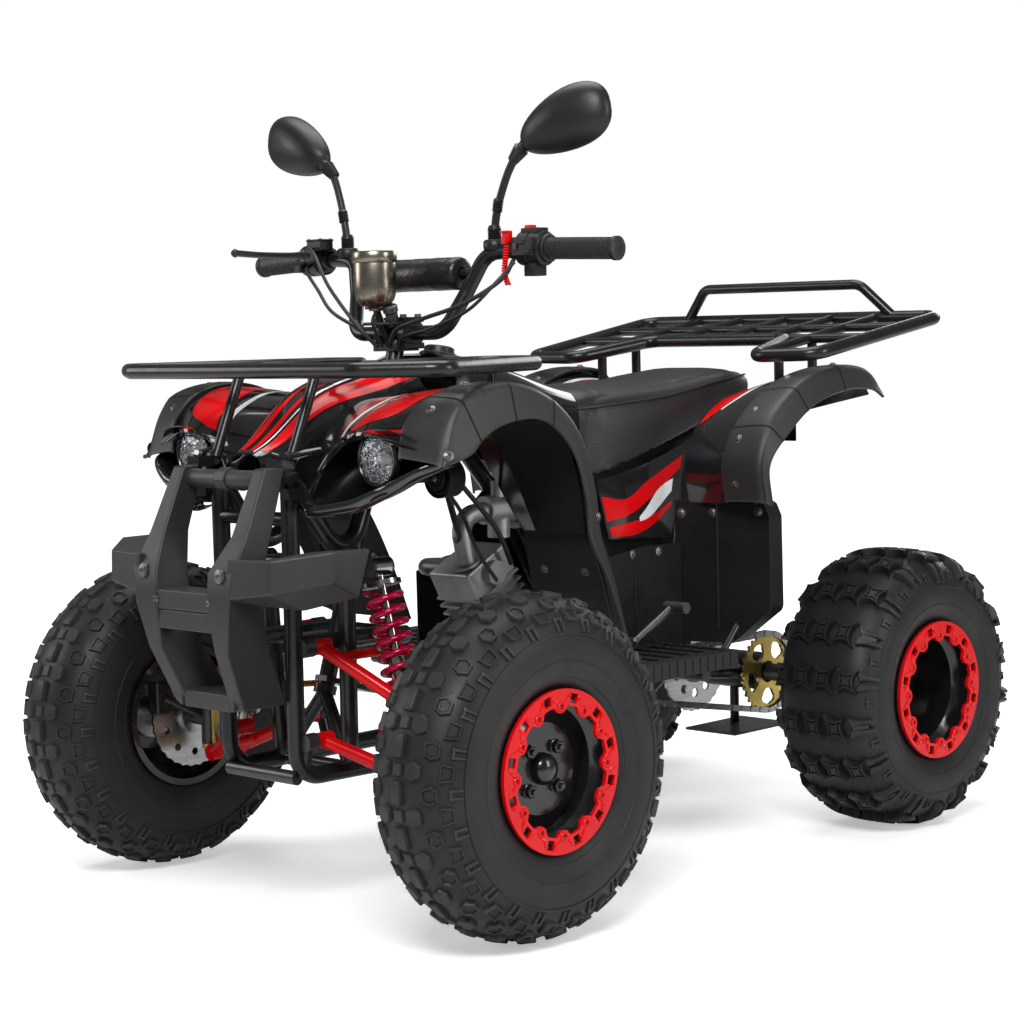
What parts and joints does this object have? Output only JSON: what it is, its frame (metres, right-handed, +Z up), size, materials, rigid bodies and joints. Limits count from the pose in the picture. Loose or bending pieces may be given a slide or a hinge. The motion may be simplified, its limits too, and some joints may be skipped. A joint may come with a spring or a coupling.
{
  "type": "quad bike",
  "caption": "Youth quad bike with tube racks, moulded bumper, flared fenders, padded saddle, steering front wheels on double arms and a chain driven rear axle.",
  "frame": {"origin": "on the floor under the middle of the overall length and width", "axes": "+Z up, the nose points along -Y, the bike's left side is +X"},
  "size_m": [0.956, 1.44, 1.1826],
  "materials": {
    "satin_black_metal": "satin powder coat",
    "matt_grey_plastic": "grained moulding",
    "gloss_black_plastic": "glossy, with painted stripes",
    "clear_lens": "clear faceted lens",
    "seat_vinyl": "grained vinyl",
    "engine_alloy": "as cast, light grey",
    "dark_steel": "dull, darkened",
    "shock_chrome": "polished",
    "crimson_metal": "glossy crimson coat",
    "red_metal": "glossy red coat",
    "zinc_yellow": "yellow zinc plating",
    "red_lens": "red translucent lens",
    "black_rubber": "matt",
    "black_foam": "closed cell foam",
    "matt_black_plastic": "fine grained moulding",
    "red_plastic": "glossy",
    "rim_black_metal": "satin black coat",
    "tyre_rubber": "matt black",
    "disc_steel": "ground steel"
  },
  "bodies": {
    "chassis": {"frame": "satin_black_metal", "bumper": "matt_grey_plastic", "front_rack": "satin_black_metal", "rear_rack": "satin_black_metal", "front_body": "gloss_black_plastic", "headlamps": "gloss_black_plastic", "headlamp_lenses": "clear_lens", "front_flare_left": "matt_grey_plastic", "front_flare_right": "matt_grey_plastic", "tank_cover": "gloss_black_plastic", "side_panels": "gloss_black_plastic", "lower_covers": "matt_grey_plastic", "seat": "seat_vinyl", "rear_body": "gloss_black_plastic", "rear_flare_left": "matt_grey_plastic", "rear_flare_right": "matt_grey_plastic", "heel_guards": "matt_grey_plastic", "foot_rests": "matt_grey_plastic", "engine": "engine_alloy", "carburettor": "engine_alloy", "exhaust": "dark_steel", "swingarm": "satin_black_metal", "chain": "dark_steel", "skid_plate": "satin_black_metal", "dampers": "shock_chrome", "springs": "crimson_metal", "control_arms": "red_metal", "yokes": "zinc_yellow", "horn": "satin_black_metal", "gear_pedal": "dark_steel", "tail_lamp": "red_lens"},
    "steering": {"steering_stem": "satin_black_metal", "handlebar": "satin_black_metal", "grips": "black_rubber", "bar_pad": "black_foam", "controls": "matt_black_plastic", "mirrors": "matt_black_plastic", "gauge": "shock_chrome", "kill_cord": "red_plastic", "kill_clip": "red_plastic", "cables": "black_rubber"},
    "knuckle_body_left": {"knuckle_left": "satin_black_metal"},
    "tie_rod_body_left": {"tie_rod_left": "zinc_yellow"},
    "front_wheel_left": {"front_rim_left": "rim_black_metal", "front_ring_left": "red_metal", "front_tyre_left": "tyre_rubber", "front_hub_left": "disc_steel"},
    "knuckle_body_right": {"knuckle_right": "satin_black_metal"},
    "tie_rod_body_right": {"tie_rod_right": "zinc_yellow"},
    "front_wheel_right": {"front_rim_right": "rim_black_metal", "front_ring_right": "red_metal", "front_tyre_right": "tyre_rubber", "front_hub_right": "disc_steel"},
    "rear_wheels": {"rear_axle": "dark_steel", "sprocket": "zinc_yellow", "rear_disc": "disc_steel", "rear_rims": "rim_black_metal", "rear_rings": "red_metal", "rear_tyre_left": "tyre_rubber", "rear_tyre_right": "tyre_rubber"}
  },
  "joints": [
    {"name": "steering_turn", "type": "hinge", "parent": "chassis", "child": "steering", "pos_m": [0, -0.4546, 0.326], "axis": [0, 0.3092, 0.951], "range_deg": [-28, 28]},
    {"name": "knuckle_turn_left", "type": "hinge", "parent": "chassis", "child": "knuckle_body_left", "pos_m": [0.281, -0.4546, 0.2413], "axis": [0, 0, 1], "range_deg": [-28.5, 28.5]},
    {"name": "tie_rod_swing_left", "type": "hinge", "parent": "steering", "child": "tie_rod_body_left", "pos_m": [0.016, -0.38803, 0.30436], "axis": [0, 0.3092, 0.951], "range_deg": [-30, 30]},
    {"name": "front_wheel_spin_left", "type": "hinge", "parent": "knuckle_body_left", "child": "front_wheel_left", "pos_m": [0.399, -0.4546, 0.2413], "axis": [1, 0, 0], "continuous": true},
    {"name": "knuckle_turn_right", "type": "hinge", "parent": "chassis", "child": "knuckle_body_right", "pos_m": [-0.281, -0.4546, 0.2413], "axis": [0, 0, 1], "range_deg": [-28.5, 28.5]},
    {"name": "tie_rod_swing_right", "type": "hinge", "parent": "steering", "child": "tie_rod_body_right", "pos_m": [-0.016, -0.38803, 0.30436], "axis": [0, 0.3092, 0.951], "range_deg": [-30, 30]},
    {"name": "front_wheel_spin_right", "type": "hinge", "parent": "knuckle_body_right", "child": "front_wheel_right", "pos_m": [-0.399, -0.4546, 0.2413], "axis": [1, 0, 0], "continuous": true},
    {"name": "rear_axle_spin", "type": "hinge", "parent": "chassis", "child": "rear_wheels", "pos_m": [0, 0.4914, 0.2286], "axis": [1, 0, 0], "continuous": true}
  ],
  "couplings": [
    {"joint": "knuckle_turn_left", "follows": "steering_turn", "ratio": 1},
    {"joint": "tie_rod_swing_left", "follows": "steering_turn", "ratio": -1.05},
    {"joint": "knuckle_turn_right", "follows": "steering_turn", "ratio": 1},
    {"joint": "tie_rod_swing_right", "follows": "steering_turn", "ratio": -1.05}
  ]
}
